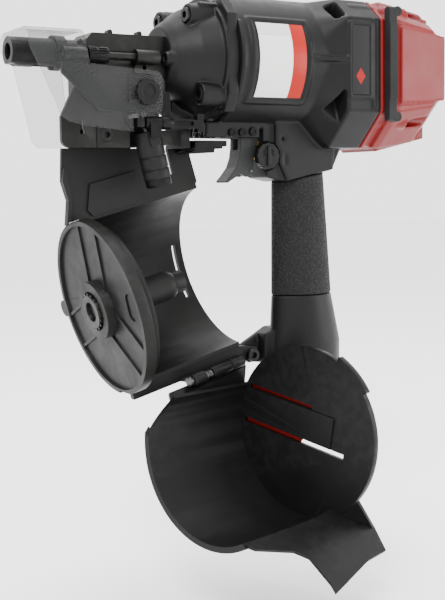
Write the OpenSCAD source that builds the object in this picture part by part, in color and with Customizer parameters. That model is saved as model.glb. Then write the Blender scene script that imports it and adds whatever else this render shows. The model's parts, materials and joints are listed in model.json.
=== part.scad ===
// Pneumatic coil nailer: nail axis along X, nails leave towards -X, +Z up, origin at the muzzle.

/* [Drive line] */
// Outer radius of the contact tip
tip_r = 9.5; // [9:0.5:10]
// Radius of the bore that the nail leaves through
muzzle_r = 5.4; // [5:0.1:5.6]
// Length of the contact tip tube
tip_len = 46; // [44:1:47]
// Inner radius of the cylinder liner
liner_r = 27; // [26:0.5:28]
// Stroke of the piston and driver blade
stroke = 104; // [95:1:104]

/* [Body] */
// Outer radius of the barrel
barrel_r = 46; // [45.5:0.1:46.5]
// Inner radius of the air reservoir round the liner
reservoir_r = 41; // [40:0.5:42]
// Place along X where the front bell meets the barrel
flange_x = 150; // [150:1:151]
// Place along X of the seam between the body and the rear cap
seam_x = 266; // [265:0.5:267]
// Place along X of the rear face of the cap
cap_end_x = 335; // [333:1:337]
// Half width of the squared rear of the body
rear_half_w = 50; // [49:0.5:51]
// Height of the squared rear above the drive axis
rear_top = 45; // [44:0.5:46]
// Depth of the squared rear below the drive axis
rear_bottom = 62; // [60:0.5:63]

/* [Handle] */
// Place along X of the middle of the grip at its top
grip_x = 226; // [225:0.5:227]
// Height of the top seam of the rubber grip
grip_top_z = -84; // [-86:0.5:-83]
// Height of the bottom seam of the rubber grip
grip_bottom_z = -171; // [-173:0.5:-170]
// Half depth of the grip at its top, along X
grip_half_top = 21.5; // [21:0.5:22]
// Half depth of the grip at its bottom, along X
grip_half_bottom = 26; // [25.5:0.5:26.5]
// Half width of the grip across the tool
grip_half_w = 17.5; // [17:0.5:18]
// Height of the underside of the handle end
handle_end_z = -226; // [-228:0.5:-225]

/* [Magazine] */
// Outer radius of the coil canister
can_r = 62.5; // [62:0.5:63]
// Wall thickness of the canister
can_wall = 2.6; // [2.4:0.1:2.8]
// Tilt of the canister axis from the drive axis, for 15 degree wire coils
can_tilt = 14; // [13.5:0.5:14.5]
// Angle that the magazine door stands open
door_open = 130; // [120:1:135]
// Yaw of the door hinge line from the canister axis
hinge_yaw = 11; // [10:0.5:12]
// Droop of the door hinge line towards the rear
hinge_droop = 3.5; // [3:0.5:4]

/* [Shield] */
// Distance of each shield panel from the middle plane
shield_y = 27; // [26.5:0.5:27.5]
// Thickness of the clear sheet
shield_t = 1.8; // [1.6:0.1:2]

/* [Hidden] */
$fn = 64;
CAN = [62, 0, -171];
HINGE = [50, -7, -71];
rod_y = -19;
rod_z = -2;
feed_y = -13;
feed_top = [92.3, feed_y, -50.7];
feed_r = 9.4;
latch_y = -23;
latch_z = -45.6;
trigger_pivot = [178, 0, -50];
valve_z = -62;
dial = [189.5, 0, -67.5];
liner_wall = 3;
piston_x = 246;
ejector_r = 4.2;
cap_bolt_y = 34;
cap_bolt_top = 35;
cap_bolt_low = -41;
bolt_y = 20.5;
bolt_z = 28;
lug_angle = -95;

// ---------- helpers ----------
module along_x(x0, x1, r, r2 = -1) {
  translate([x0, 0, 0]) rotate([0, 90, 0]) cylinder(h = x1 - x0, r1 = r, r2 = r2 < 0 ? r : r2);
}
module tube_x(x0, x1, ro, ri) {
  difference() { along_x(x0, x1, ro); along_x(x0 - 1, x1 + 1, ri); }
}
module box(x0, x1, y0, y1, z0, z1) {
  translate([x0, y0, z0]) cube([x1 - x0, y1 - y0, z1 - z0]);
}
// Turns a flat outline drawn in (x, z) into a plate between y0 and y1
module plate_xz(y0, y1) {
  translate([0, y1, 0]) rotate([90, 0, 0]) linear_extrude(y1 - y0) children();
}
// Turns a flat outline drawn in (y, z) into a prism between x0 and x1
module prism_x(x0, x1) {
  translate([x0, 0, 0]) rotate([90, 0, 90]) linear_extrude(x1 - x0) children();
}
module pin_y(x, z, y0, y1, r) {
  translate([x, y1, z]) rotate([90, 0, 0]) cylinder(h = y1 - y0, r = r);
}
// Stack of rings that stands for a coil spring along X
module spring_x(x0, x1, r, wire, turns) {
  pitch = (x1 - x0 - wire) / turns;
  for (i = [0 : turns])
    translate([x0 + wire / 2 + i * pitch, 0, 0]) rotate([0, 90, 0])
      rotate_extrude($fn = 32) translate([r, 0]) circle(d = wire, $fn = 16);
  rotate([90, 0, 90]) for (s = [-1, 1])
    translate([s * r, 0, x0 + wire / 2]) cylinder(h = x1 - x0 - wire, d = wire * 0.5, $fn = 16);
}
module socket_screw_x(x0, x1, r_head, head_len, r_shank) {
  difference() {
    union() { along_x(x0, x0 + head_len, r_head); along_x(x0, x1, r_shank); }
    translate([x0 - 1, 0, 0]) rotate([0, 90, 0])
      cylinder(h = 1 + head_len * 0.55, r = r_head * 0.55, $fn = 6);
  }
}
module can() { translate(CAN) rotate([0, -can_tilt, 0]) children(); }
module hinge_frame() { can() translate(HINGE) rotate([0, hinge_droop, hinge_yaw]) children(); }
// Places what is drawn in the canister's frame, with the door closed, into the open pose
module door_swing(angle) {
  hinge_frame() rotate([angle, 0, 0]) rotate([0, -hinge_droop, 0]) rotate([0, 0, -hinge_yaw])
    translate(-HINGE) children();
}
module rear_outline(grow = 0) {
  w = rear_half_w + grow;
  t = rear_top + grow;
  b = rear_bottom + grow;
  polygon([[-w, t - 15], [-w + 18, t], [w - 18, t], [w, t - 15], [w, -b + 26], [w - 26, -b], [-w + 26, -b],
    [-w, -b + 26]]);
}

// ---------- body ----------
module handle_slab(x0, z, hx, hy, h) {
  translate([x0, 0, z]) linear_extrude(h)
    polygon([for (i = [0 : 47]) [hx * cos(i * 7.5), hy * (0.35 * sin(i * 7.5) * abs(sin(i * 7.5))
      + 0.65 * sin(i * 7.5))]]);
}
module handle_core() {
  hull() {
    handle_slab(grip_x, grip_top_z + 10, grip_half_top - 4, grip_half_w - 4, 1);
    handle_slab(grip_x + 3, grip_bottom_z - 6, grip_half_bottom - 4, grip_half_w - 4, 1);
  }
  hull() {
    handle_slab(grip_x + 3, grip_bottom_z - 5.3, grip_half_bottom, grip_half_w, 5);
    handle_slab(grip_x + 6, handle_end_z, grip_half_bottom + 5, grip_half_w + 3, 18);
  }
  // foot that reaches forward to the magazine
  hull() {
    box(180, 194, 10.3, 16, -221, -209);
    box(204, 214, -4, 16, -224, -196);
  }
}
module neck() {
  plate_xz(-13.5, 13.5)
    polygon([[187, -36], [187, -58], [188, -62], [190, -83], [205, -86], [249, -78], [258, -60],
      [262, -36]]);
  plate_xz(-17, 17)
    polygon([[196, -40], [196, -60], [199, -72], [206, -86], [248, -77.5], [249, -62], [256, -40]]);
}
module rear_block() {
  prism_x(238, seam_x) rear_outline();
  hull() {
    prism_x(238, 240) rear_outline();
    along_x(213, 215, barrel_r - 3);
  }
}
module side_frame(s) {
  // raised frame round the badge and the tie rib towards the label
  mirror([0, s > 0 ? 1 : 0, 0]) {
    box(237, 257.5, -rear_half_w - 1.4, -rear_half_w + 3, -27, 27);
    box(259, 260.6, -rear_half_w - 1.2, -rear_half_w + 3, -34, 29);
    hull() {
      box(207, 209, -barrel_r - 1.1, -40, -1.6, 1.6);
      box(238, 240, -rear_half_w - 1.2, -40, -1.6, 1.6);
    }
  }
}
module housing() color([0.16, 0.16, 0.16]) difference() {
  union() {
    along_x(flange_x, 250, barrel_r);
    rear_block();
    cap_bolts() along_x(246, seam_x, 7);
    side_frame(-1);
    side_frame(1);
    neck();
    // trigger bracket
    for (s = [-1, 1]) plate_xz(s > 0 ? 8.5 : -14, s > 0 ? 14 : -8.5)
      polygon([[139, -37], [139, -54], [184, -54.5], [184, -30], [152, -30]]);
    box(139, 190, -14, 14, -46.5, -36);
    handle_core();
    // raised frame round the label, wrapped on the barrel
    for (s = [-1, 1]) intersection() {
      difference() { along_x(158, 208, barrel_r + 1.2); along_x(157, 209, barrel_r - 2); }
      box(158, 208, s > 0 ? 30 : -50, s > 0 ? 50 : -30, -32, 27);
    }
    // arc rib in front of the label
    intersection() {
      tube_x(150.5, 152.5, barrel_r + 0.9, barrel_r - 2);
      box(150, 153, -50, 50, -26, 24);
    }
  }
  // label recess
  for (s = [-1, 1]) intersection() {
    difference() { along_x(161, 205, barrel_r + 3); along_x(160, 206, barrel_r + 0.1); }
    box(161, 205, s > 0 ? 30 : -52, s > 0 ? 52 : -30, -29, 24.5);
  }
  // badge recess
  box(239, 255.5, -rear_half_w - 3, -rear_half_w - 0.2, -25, 25);
  box(239, 255.5, rear_half_w + 0.2, rear_half_w + 3, -25, 25);
  // pockets in the corners of the flare
  for (s = [-1, 1]) {
    translate([222, s * 46, -36]) rotate([s * 18, 0, 0]) plate_xz(-9, 9)
      polygon([[-13, -9], [14, 15], [14, -14]]);
    translate([224, s * 40, 37]) rotate([-s * 30, 0, 0]) plate_xz(-8, 8)
      polygon([[-10, 12], [13, 12], [13, -13]]);
  }
  // reservoir and rear opening
  along_x(flange_x + 8, 258, reservoir_r);
  along_x(flange_x - 1, flange_x + 9, 31);
  along_x(256.3, seam_x + 1, 44);
  // seat of the front bell
  box(138, flange_x, -20, 20, -43.2, -30);
  along_x(138, flange_x, 43.2);
  for (s = [-1, 1]) {
    translate([0, s * bolt_y, bolt_z]) along_x(flange_x - 1, 157.5, 3.02);
    translate([0, s * 30, -26]) along_x(flange_x - 1, 157.5, 3.02);
  }
  // air way down the handle and the plug chamber
  translate([grip_x, 0, handle_end_z - 1]) cylinder(h = 188, r = 11);
  for (x = [grip_x - 14.5, grip_x + 27]) translate([x, 0, handle_end_z - 1]) cylinder(h = 13, r = 2.52);
  // trigger slot, valve bore and dial pocket
  box(150, 186.9, -8.5, 8.5, -60, -44);
  box(138, 152, -8.5, 8.5, -56, -40);
  translate([0, 0, valve_z]) along_x(182, 216, 8);
  translate([dial.x, -11.5, dial.z]) rotate([90, 0, 0]) cylinder(h = 8, r = 10.3);
  pin_y(dial.x, dial.z, -12, -8.2, 2.55);
  pin_y(trigger_pivot.x, trigger_pivot.z, -16, 16, 2.02);
  pin_y(169, -51, -16, 16, 2.02);
  pin_y(160.5, -51, -16, 16, 2.02);
  // cap bolts and the magazine's bolt and ear
  cap_bolts() along_x(251, seam_x + 1, 2.52);
  pin_y(186, -215.5, 9, 20, 2.52);
  box(160, 195.5, -5, 10.25, -226, -200);
  // side holes behind the trigger
  pin_y(202.5, -55, -18, -14, 1.2);
  box(203, 205.5, -18, -15.5, -74, -66);
}
module nose_flange() color([0.2, 0.2, 0.2]) difference() {
  union() {
    along_x(108, 113, 21, 25);
    along_x(113, 126, 25, 34);
    along_x(126, 140, 34, 40);
    along_x(140, flange_x, 43);
    // squared flange with screw lugs
    prism_x(142, flange_x) polygon([[-30, 39], [30, 39], [40, 28], [41, -26], [34, -38], [-34, -38],
      [-41, -26], [-40, 28]]);
    for (s = [-1, 1]) {
      translate([0, s * bolt_y, bolt_z]) along_x(121, 146, 7.6);
      translate([0, s * 30, -26]) along_x(124, 146, 7.6);
      // ribs between the lugs and the bell
      translate([0, s * bolt_y, bolt_z]) rotate([s * -36, 0, 0]) box(128, 144, -2, 2, -8, 10);
    }
    // knuckle that takes the end of the adjuster rod
    translate([0, rod_y, rod_z]) { along_x(104.3, 117, 4.8); along_x(116, 121.5, 4); }
    box(118, 146, -2.2, 2.2, -42, -20);
  }
  along_x(100, 160, ejector_r + 1.2);
  translate([0, rod_y, rod_z]) along_x(102, 112, 2.1);
  along_x(126, 160, 31);
  along_x(107, 111, 13.02);
  for (s = [-1, 1]) {
    translate([0, s * bolt_y, bolt_z]) { along_x(116, 125.9, 5.3); along_x(125, 152, 3.02); }
    translate([0, s * 30, -26]) { along_x(118, 130, 5.3); along_x(129, 152, 3.02); }
  }
}
module flange_screws() color([0.25, 0.25, 0.26]) for (s = [-1, 1]) {
  translate([0, s * bolt_y, bolt_z]) socket_screw_x(119.4, 156, 5, 6.5, 3);
  translate([0, s * 30, -26]) socket_screw_x(123.5, 157, 5, 6.5, 3);
}

// ---------- nose ----------
module nose_block() difference() {
  union() {
    // top block with a cut front corner
    plate_xz(-13, 13) polygon([[50, -12], [50, 9], [54, 13.4], [110, 13.4], [110, -13], [54, -13]]);
    along_x(108, 111, 13);
    // two oil bosses on the top
    for (x = [69, 91]) { box(x - 1.6, x + 1.6, -9, -3, 12, 15); pin_y(x, 15, -9, -3, 1.6); }
    // web that carries the nails, down to the throat
    plate_xz(4, 13) polygon([[50, -12], [104, -12], [110, -20], [112, -44], [112, -60], [96, -61],
      [52, -61], [47, -56], [47, -16]]);
    // guide barrel of the adjuster rod
    translate([0, rod_y, rod_z]) along_x(82, 99, 5);
    box(82, 99, rod_y, -12, rod_z - 2.5, rod_z + 2.5);
    // lug with the cross hole under the barrel
    box(83, 97, -17, -12, -12.5, -4);
    // plate that carries the knob post, with its slanted rib
    plate_xz(-12.5, -9) polygon([[80, -12], [106, -12], [112, -36], [105, -36], [100, -31], [80, -31]]);
    plate_xz(-12.5, 4.2) polygon([[107, -12], [110, -12], [112, -34], [112, -38], [107, -36]]);
    // clamp that holds the feed cylinder to the web
    box(104.2, 112, -13, 4.2, -60, -50);
    box(97, 112, -13, -4.6, -60, -50);
    // fixed post of the shield knob
    pin_y(86, -25.5, -shield_y + shield_t + 0.05, -9.5, 4.5);
    // shelf that the magazine throat is screwed to
    box(48, 94, 12, 19, -61, -57);
    box(48, 94, 15.1, 19, -74, -58);
  }
  // seat in the front bell
  tube_x(107.9, 116, 27, 13);
  feed_axis() translate([0, 0, -45]) cylinder(h = 60, r = feed_r + 0.1);
  pin_y(86, -25.5, -shield_y, -16, 2.52);
  for (x = [54, 86]) pin_y(x, -68, 14, 20, 2.02);
  along_x(46, 66.5, 10.4);
  // pocket for the depth wheel
  translate([0, rod_y, rod_z]) along_x(49, 81.9, 7.2);
  translate([0, rod_y, rod_z]) along_x(80, 100, 2.56);
  pin_y(90, -8.5, -18, -11.5, 1.5);
  // recess in the web beside the nails
  box(52, 96, 3, 5.2, -59, -16);
}
module nose_body() color([0.36, 0.37, 0.35]) difference() {
  union() {
    nose_block();
    along_x(22, 70, 6.4);
  }
  along_x(20, 120, ejector_r);
  // slot for the nails to rise into the drive channel
  box(21, 105, -3.6, 3.6, -16, 0);
}
module nose_cover() color([0.33, 0.34, 0.33]) difference() {
  union() {
    plate_xz(-13.6, -10.2) polygon(concat([[79, -62], [79, -13.02], [56, -13.02], [42, -18], [30, -42],
      [30, -57]],
      [for (i = [0 : 4]) [35 - 5 * cos(i * 22.5), -57 - 5 * sin(i * 22.5)]]));
    // raised step round the screw
    plate_xz(-14.4, -13.5) polygon([[55, -62], [55, -47], [79, -47], [79, -62]]);
    // inner rails that guide the nail strip
    box(40, 68, -10.3, -4.4, -61, -58.5);
    box(40, 72, -10.3, -4.4, -24, -20);
  }
  pin_y(62.5, -53.2, -16, -8, 2.42);
  translate([62.5, -11, -53.2]) rotate([90, 0, 0]) cylinder(h = 6, r1 = 2.42, r2 = 6.9);
  // keyhole for a spring hook
  pin_y(45, -51.5, -16, -8, 1.9);
  box(43.6, 45.8, -16, -8, -51, -44);
  // notch beside the nail feed
  box(76.4, 80, -16, -8, -49, -36);
}
module nose_cover_screw() color([0.2, 0.2, 0.2]) difference() {
  union() {
    translate([62.5, -11.1, -53.2]) rotate([90, 0, 0]) cylinder(h = 3, r1 = 2.36, r2 = 4.6);
    pin_y(62.5, -53.2, -11.2, -6.2, 2.36);
    // nut on the inner face
    pin_y(62.5, -53.2, -10.15, -6.2, 4.4);
  }
  translate([62.5, -12, -53.2]) rotate([90, 0, 0]) cylinder(h = 4, r = 2.2, $fn = 6);
}
module contact_tip() color([0.14, 0.14, 0.14]) difference() {
  along_x(0, tip_len, tip_r);
  along_x(-1, 8, muzzle_r);
  along_x(7.5, 60, 6.5);
  // slanted relief under the mouth
  plate_xz(-12, 12) polygon([[-1, -7.6], [3, -8], [5.5, -12], [-1, -12]]);
  // slot for the nails
  box(16, 60, -4, 4, -12, 0);
}
module contact_arm() color([0.18, 0.18, 0.18]) difference() {
  union() {
    // collar clamped round the tip
    along_x(30, 37.5, 11.6);
    box(30, 37.5, rod_y, -9.6, rod_z - 2.5, rod_z + 2.5);
    translate([0, rod_y, rod_z]) along_x(30, 46.3, 4.5);
    // arm down the near side and back above the feed cylinder
    plate_xz(-17, -14.8) polygon([[34, 0], [30, -4], [30, -14], [55, -37.6], [100, -37.6], [112, -47],
      [124, -47],
      [124, -40], [114, -40], [101, -31.6], [66, -31.6], [47, -9], [47, 0]]);
    box(30, 37.5, -17, -9.6, -7, 0);
    // web to the middle, behind the feed cylinder
    plate_xz(-17, 6) polygon([[117, -46], [124, -46], [124, -62], [117, -62]]);
    box(117, 157, -6, 6, -62, -56.5);
    // trigger end with its turned lip
    plate_xz(-12, 12) polygon([[131, -56.5], [157, -56.5], [157, -60.5], [147, -61.5], [146.5, -65],
      [131, -65.6],
      [128, -64.4], [131, -63.4]]);
    // tongue that tips the lever in the trigger
    box(156, 163, -2, 2, -60, -57.5);
  }
  translate([0, rod_y, rod_z]) along_x(29, 60, 2.46);
  along_x(29, 60, tip_r + 0.01);
  box(28, 46, -4, 4, -14, 0);
}
module contact_arm_spring() color([0.6, 0.6, 0.6]) translate([0, 0, -50.5])
  spring_x(124.2, 158.2, 3.2, 0.9, 9);
module adjuster_rod() color([0.45, 0.45, 0.44]) translate([0, rod_y, rod_z]) {
  along_x(32, 92, 2.46);
  along_x(91, 99, 1.8);
}
module depth_wheel() color([0.22, 0.22, 0.22]) translate([0, rod_y, rod_z]) difference() {
  union() {
    along_x(47.2, 61.2, 5.4);
    for (i = [0 : 17]) rotate([i * 20, 0, 0]) { box(47.8, 52.6, -0.45, 0.45, 5, 5.9);
      box(54.2, 60, -0.45, 0.45, 5, 5.9); }
  }
  along_x(46, 62, 2.52);
}
module shield_outline() {
  polygon([[4.6, 5], [4.6, 2], [12, -13], [20, -30], [24.5, -41], [30, -45.5], [44, -49], [76, -51.5],
    [75.5, -41.5], [94, -41.5], [98, -37.5], [99, -17], [97.8, -13.5], [94, -11.4], [46, -8.5], [43, 5]]);
}
module shield_far_outline() {
  polygon([[4.6, 5], [4.6, 2], [13, -6], [19, -31], [25, -57], [29, -61], [46, -61], [52, -50],
    [48, -10], [43, 5]]);
}
module shield() color([0.85, 0.87, 0.88, 0.4]) difference() {
  union() {
    plate_xz(-shield_y, -shield_y + shield_t) shield_outline();
    plate_xz(shield_y - shield_t, shield_y) shield_far_outline();
    // bend over the top of the tip
    for (s = [-1, 1]) intersection() {
      translate([0, s * (shield_y - 9), 5]) tube_x(4.6, 43, 9, 9 - shield_t);
      box(4, 44, s > 0 ? shield_y - 9 : -shield_y, s > 0 ? shield_y : -shield_y + 9, 5, 15);
    }
    box(4.6, 43, -shield_y + 9, shield_y - 9, 14 - shield_t, 14);
  }
  pin_y(86, -25.5, -shield_y - 1, -shield_y + 4, 2.52);
}
module shield_knob() color([0.12, 0.12, 0.12]) {
  difference() {
    union() {
      pin_y(86, -25.5, -shield_y - 3.6, -shield_y - 0.02, 8.4);
      for (i = [0 : 11]) translate([86, 0, -25.5]) rotate([0, i * 30, 0])
        box(7.6, 9, -shield_y - 3.6, -shield_y - 0.8, -1.1, 1.1);
    }
    pin_y(86, -25.5, -shield_y - 5, -shield_y - 2.6, 5);
  }
  pin_y(86, -25.5, -shield_y - 3, -16.5, 2.5);
}
module latch_lever() color([0.2, 0.2, 0.2]) translate([0, latch_y, latch_z]) difference() {
  union() {
    along_x(86, 98, 3.9);
    along_x(98, 106, 4.6);
    // tapering lever and thumb tab
    plate_xz(-3.4, 3.4) polygon([[104, -4.4], [104, 4.4], [112, 3.2], [126, 2.2], [126, -3.6]]);
    plate_xz(-3.4, 1.6) polygon([[125, -6], [125, 6.4], [130, 6.4], [130, -6]]);
    // finger that lies over the tongue of the magazine door
    box(88, 96, -5.4, 0, -2.5, 0.5);
    box(88, 96, -5.4, -4, -10, 0.5);
  }
  along_x(85, 107, 2.06);
  box(108, 122, -4, -1.6, -1.6, 1.2);
}
module latch_pin() color([0.5, 0.5, 0.5]) difference() {
  union() {
    translate([0, latch_y, latch_z]) along_x(80, 106, 2);
    // foot on the nose cover
    box(79.2, 84.5, latch_y - 3, -12.6, latch_z - 3, latch_z + 3);
  }
  translate([0, latch_y, latch_z]) along_x(105, 108, 1);
}

// ---------- nail feed ----------
module feed_axis() { translate(feed_top) rotate([0, -can_tilt, 0]) children(); }
module feed_cylinder() color([0.17, 0.17, 0.17]) feed_axis() difference() {
  union() {
    translate([0, 0, -33]) cylinder(h = 33, r = feed_r);
    // small pad on the near face
    translate([-4, -10, -10]) cube([8, 3, 9]);
  }
  translate([0, 0, -34]) cylinder(h = 30, r = 7.6);
  translate([0, 0, -5]) cylinder(h = 6, r = 2.05);
  // two turned grooves
  for (z = [-18, -27]) translate([0, 0, z]) difference() {
    cylinder(h = 0.8, r = 12);
    translate([0, 0, -1]) cylinder(h = 3, r = feed_r - 0.5);
  }
}
module feed_end_cap() color([0.12, 0.12, 0.12]) feed_axis() difference() {
  union() {
    translate([0, 0, -38]) cylinder(h = 4.9, r = 9);
    translate([0, 0, -34]) cylinder(h = 4, r = 7.57);
  }
  translate([-12, -1.2, -39]) cube([24, 2.4, 2.4]);
  translate([0, 0, -32.75]) cylinder(h = 6, r = 6.4);
}
module feed_piston() color([0.55, 0.55, 0.53]) feed_axis() difference() {
  union() {
    translate([0, 0, -11.5]) cylinder(h = 6.5, r = 7.53);
    translate([0, 0, -10]) cylinder(h = 23.2, r = 2);
    // carrier that holds the pawl beside the nails
    translate([-10.2, 0.6, 8.7]) cube([13.2, 6.6, 4.5]);
  }
  translate([-9.5, 2.2, 8]) cube([5, 6, 6]);
  translate([-13, 4.6, 10.9]) rotate([0, 90, 0]) cylinder(h = 12, r = 1.02);
  translate([0, 0, -12]) cylinder(h = 4, r = 5);
}
module feed_spring() color([0.6, 0.6, 0.6]) feed_axis() rotate([0, 90, 0]) spring_x(11.8, 32.6, 5.6, 1, 7);
module feed_pawl() color([0.5, 0.5, 0.48]) feed_axis() difference() {
  union() {
    translate([-9.2, 4.6, 10.9]) rotate([0, 90, 0]) cylinder(h = 4.4, r = 2);
    translate([-9.2, 0, 0]) rotate([90, 0, 90]) linear_extrude(4.4)
      polygon([[4.6, 9.2], [9.4, 10.2], [10, 11.2], [9.4, 12], [4.6, 12.8]]);
  }
  translate([-13, 4.6, 10.9]) rotate([0, 90, 0]) cylinder(h = 12, r = 1.06);
}
module feed_pawl_pin() color([0.6, 0.6, 0.6]) feed_axis() translate([-10.4, 4.6, 10.9]) rotate([0, 90, 0])
  cylinder(h = 9, r = 1);

// ---------- drive inside the barrel ----------
module cylinder_liner() color([0.7, 0.7, 0.68]) difference() {
  union() {
    tube_x(142, 260, liner_r + liner_wall, liner_r);
    tube_x(170, 176, reservoir_r - 0.05, liner_r + 1);
    tube_x(256, 260, 36, liner_r + 1);
  }
  tube_x(146.7, 149.3, liner_r + 12, liner_r + liner_wall - 1.6);
  tube_x(171.7, 174.3, liner_r + 16, 38.6);
  // ports into the return chamber
  for (a = [0 : 45 : 315]) rotate([a, 0, 0]) translate([162, 0, 20]) cylinder(h = 20, r = 2);
  for (a = [0 : 60 : 300]) rotate([a, 0, 0]) translate([173, 0, 34]) rotate([0, 90, 0])
    cylinder(h = 10, r = 2.2, center = true);
}
module liner_seals() color([0.08, 0.08, 0.08])
  for (q = [[148, 29.6], [173, 39.8]]) translate([q.x, 0, 0]) rotate([0, 90, 0])
    rotate_extrude() translate([q.y, 0]) circle(d = 2.2, $fn = 20);
module piston() color([0.75, 0.75, 0.74]) difference() {
  union() { along_x(piston_x, piston_x + 11, liner_r - 0.08); along_x(piston_x - 8, piston_x + 1, 12); }
  tube_x(piston_x + 3.5, piston_x + 6.5, liner_r + 1, liner_r - 2.4);
  along_x(piston_x - 9, piston_x + 4, 5);
  along_x(piston_x + 6, piston_x + 12, 16);
}
module piston_ring() color([0.08, 0.08, 0.08])
  tube_x(piston_x + 3.6, piston_x + 6.4, liner_r - 0.06, liner_r - 2.35);
module driver_blade() color([0.62, 0.62, 0.62]) {
  along_x(piston_x - stroke - 34, piston_x - 10, ejector_r - 0.4);
  along_x(piston_x - 12, piston_x + 3.9, 4.98);
}
module drive_bumper() color([0.1, 0.1, 0.1]) difference() {
  union() { along_x(126.05, 136, 30.9); along_x(135, 141, 22); }
  along_x(120, 150, 5.6);
  along_x(133.4, 150, 12.8);
  tube_x(131, 133, 40, 27);
}
module head_valve() color([0.2, 0.2, 0.22]) difference() {
  union() { along_x(260.5, 272, 38); along_x(271, 292, 20); }
  along_x(255, 294, 14);
  along_x(264, 268, 30);
}
module head_valve_spring() color([0.6, 0.6, 0.6]) spring_x(272.3, 299.7, 31, 2, 5);
module cap_bolts() {
  for (s = [-1, 1], z = [cap_bolt_top, cap_bolt_low]) translate([0, s * cap_bolt_y, z]) children();
}
module cap_gasket() color([0.08, 0.08, 0.08]) difference() {
  prism_x(seam_x + 0.02, seam_x + 0.78) rear_outline(-0.6);
  along_x(seam_x - 1, seam_x + 2, 44);
  cap_bolts() along_x(seam_x - 1, seam_x + 2, 2.7);
}
module cap_shell() {
  prism_x(seam_x + 0.8, 285) rear_outline();
  hull() {
    prism_x(284, 285) rear_outline();
    prism_x(321, 322) rear_outline(-5);
    prism_x(cap_end_x - 1, cap_end_x) rear_outline(-12);
  }
  // raised panels on the sides, the top and the underside
  hull() {
    box(284, 286, -rear_half_w - 2.2, rear_half_w + 2.2, -30, 26);
    box(cap_end_x - 4, cap_end_x, -43, 43, -26, 22);
  }
  hull() {
    box(284, 286, -25, 25, 0, rear_top + 2.2);
    box(cap_end_x - 6, cap_end_x, -22, 22, 0, rear_top - 8);
  }
  hull() {
    box(284, 286, -21, 21, -rear_bottom - 2.2, 0);
    box(cap_end_x - 6, cap_end_x, -18, 18, -rear_bottom + 8, 0);
  }
  cap_bolts() along_x(seam_x + 0.8, 300, 7);
}
module bar_hooks(grow = 0) {
  for (s = [-1, 1], z = [-40, 36])
    pin_y(279, z, s > 0 ? 45 - grow : -54.6, s > 0 ? 54.6 : grow - 45, 3.6 + grow);
}
module rear_cap() color([0.86, 0.11, 0.09]) difference() {
  union() {
    difference() {
      cap_shell();
      // groove that takes the rubber bars
      difference() {
        prism_x(270.2, 277.8) rear_outline(8);
        prism_x(269, 279) rear_outline(-1.6);
        cap_bolts() along_x(269, 280, 6.2);
      }
      // hollow round the head valve sleeve
      difference() {
        prism_x(seam_x, 299.8) rear_outline(-6);
        cap_bolts() along_x(seam_x, 300, 6);
      }
      // exhaust chamber
      difference() {
        hull() {
          prism_x(303, 304) rear_outline(-8);
          prism_x(cap_end_x - 6, cap_end_x - 5) rear_outline(-20);
        }
        cap_bolts() along_x(290, 340, 7.6);
      }
    }
    // sleeve of the head valve and its middle column
    tube_x(264, 301, 41.8, 38.06);
    along_x(285, 301, 26);
  }
  along_x(284, 299, 20.06);
  along_x(290, 345, 12);
  cap_bolts() {
    along_x(seam_x, 345, 2.7);
    along_x(294, 345, 5);
  }
  bar_hooks(0.1);
}
module cap_screws() color([0.2, 0.2, 0.2])
  cap_bolts() translate([299, 0, 0]) rotate([0, 0, 180]) socket_screw_x(0, 46, 4.4, 5, 2.48);
module exhaust_cover() color([0.1, 0.1, 0.1]) difference() {
  union() { along_x(cap_end_x + 0.3, cap_end_x + 9, 25, 22); along_x(cap_end_x - 5, cap_end_x + 1, 11.92); }
  along_x(cap_end_x - 6, cap_end_x + 5, 9.5);
  along_x(300, 350, 2.56);
  // outlet slots over one third of the rim
  for (a = [-40 : 20 : 40]) rotate([a, 0, 0]) box(cap_end_x + 1.6, cap_end_x + 4.9, -2.4, 2.4, 8, 30);
  along_x(cap_end_x + 6.5, 350, 5.2);
}
module exhaust_screw() color([0.3, 0.3, 0.3]) difference() {
  union() {
    along_x(299.4, cap_end_x + 7, 2.5);
    along_x(cap_end_x + 6.6, cap_end_x + 8.8, 4.6);
    // spider that the screw holds in the exhaust way
    along_x(299.4, 303, 4);
    for (a = [0 : 120 : 240]) rotate([a, 0, 0]) box(299.4, 302.4, -1.5, 1.5, 3, 11.8);
  }
  along_x(cap_end_x + 7.6, 350, 2.3);
}
module bumper_bars() color([0.15, 0.15, 0.15]) {
  for (s = [-1, 1]) {
    hull() for (z = [-40, 36]) translate([0, s * 51.9, z]) along_x(270.4, 277.5, 3.2);
    hull() for (z = [-26, 26]) translate([0, s * 52.8, z]) along_x(270.4, 277.5, 3.2);
  }
  bar_hooks();
}
module info_label() color([0.93, 0.93, 0.93]) intersection() {
  tube_x(164, 203, barrel_r + 0.6, barrel_r + 0.12);
  box(160, 206, -60, -20, -27.5, 23);
}
module badge_plate() color([0.25, 0.25, 0.25])
  for (s = [-1, 1])
    box(239.5, 255, s > 0 ? rear_half_w + 0.25 : -rear_half_w - 1,
      s > 0 ? rear_half_w + 1 : -rear_half_w - 0.25,
      -24.5, 24.5);

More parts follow.
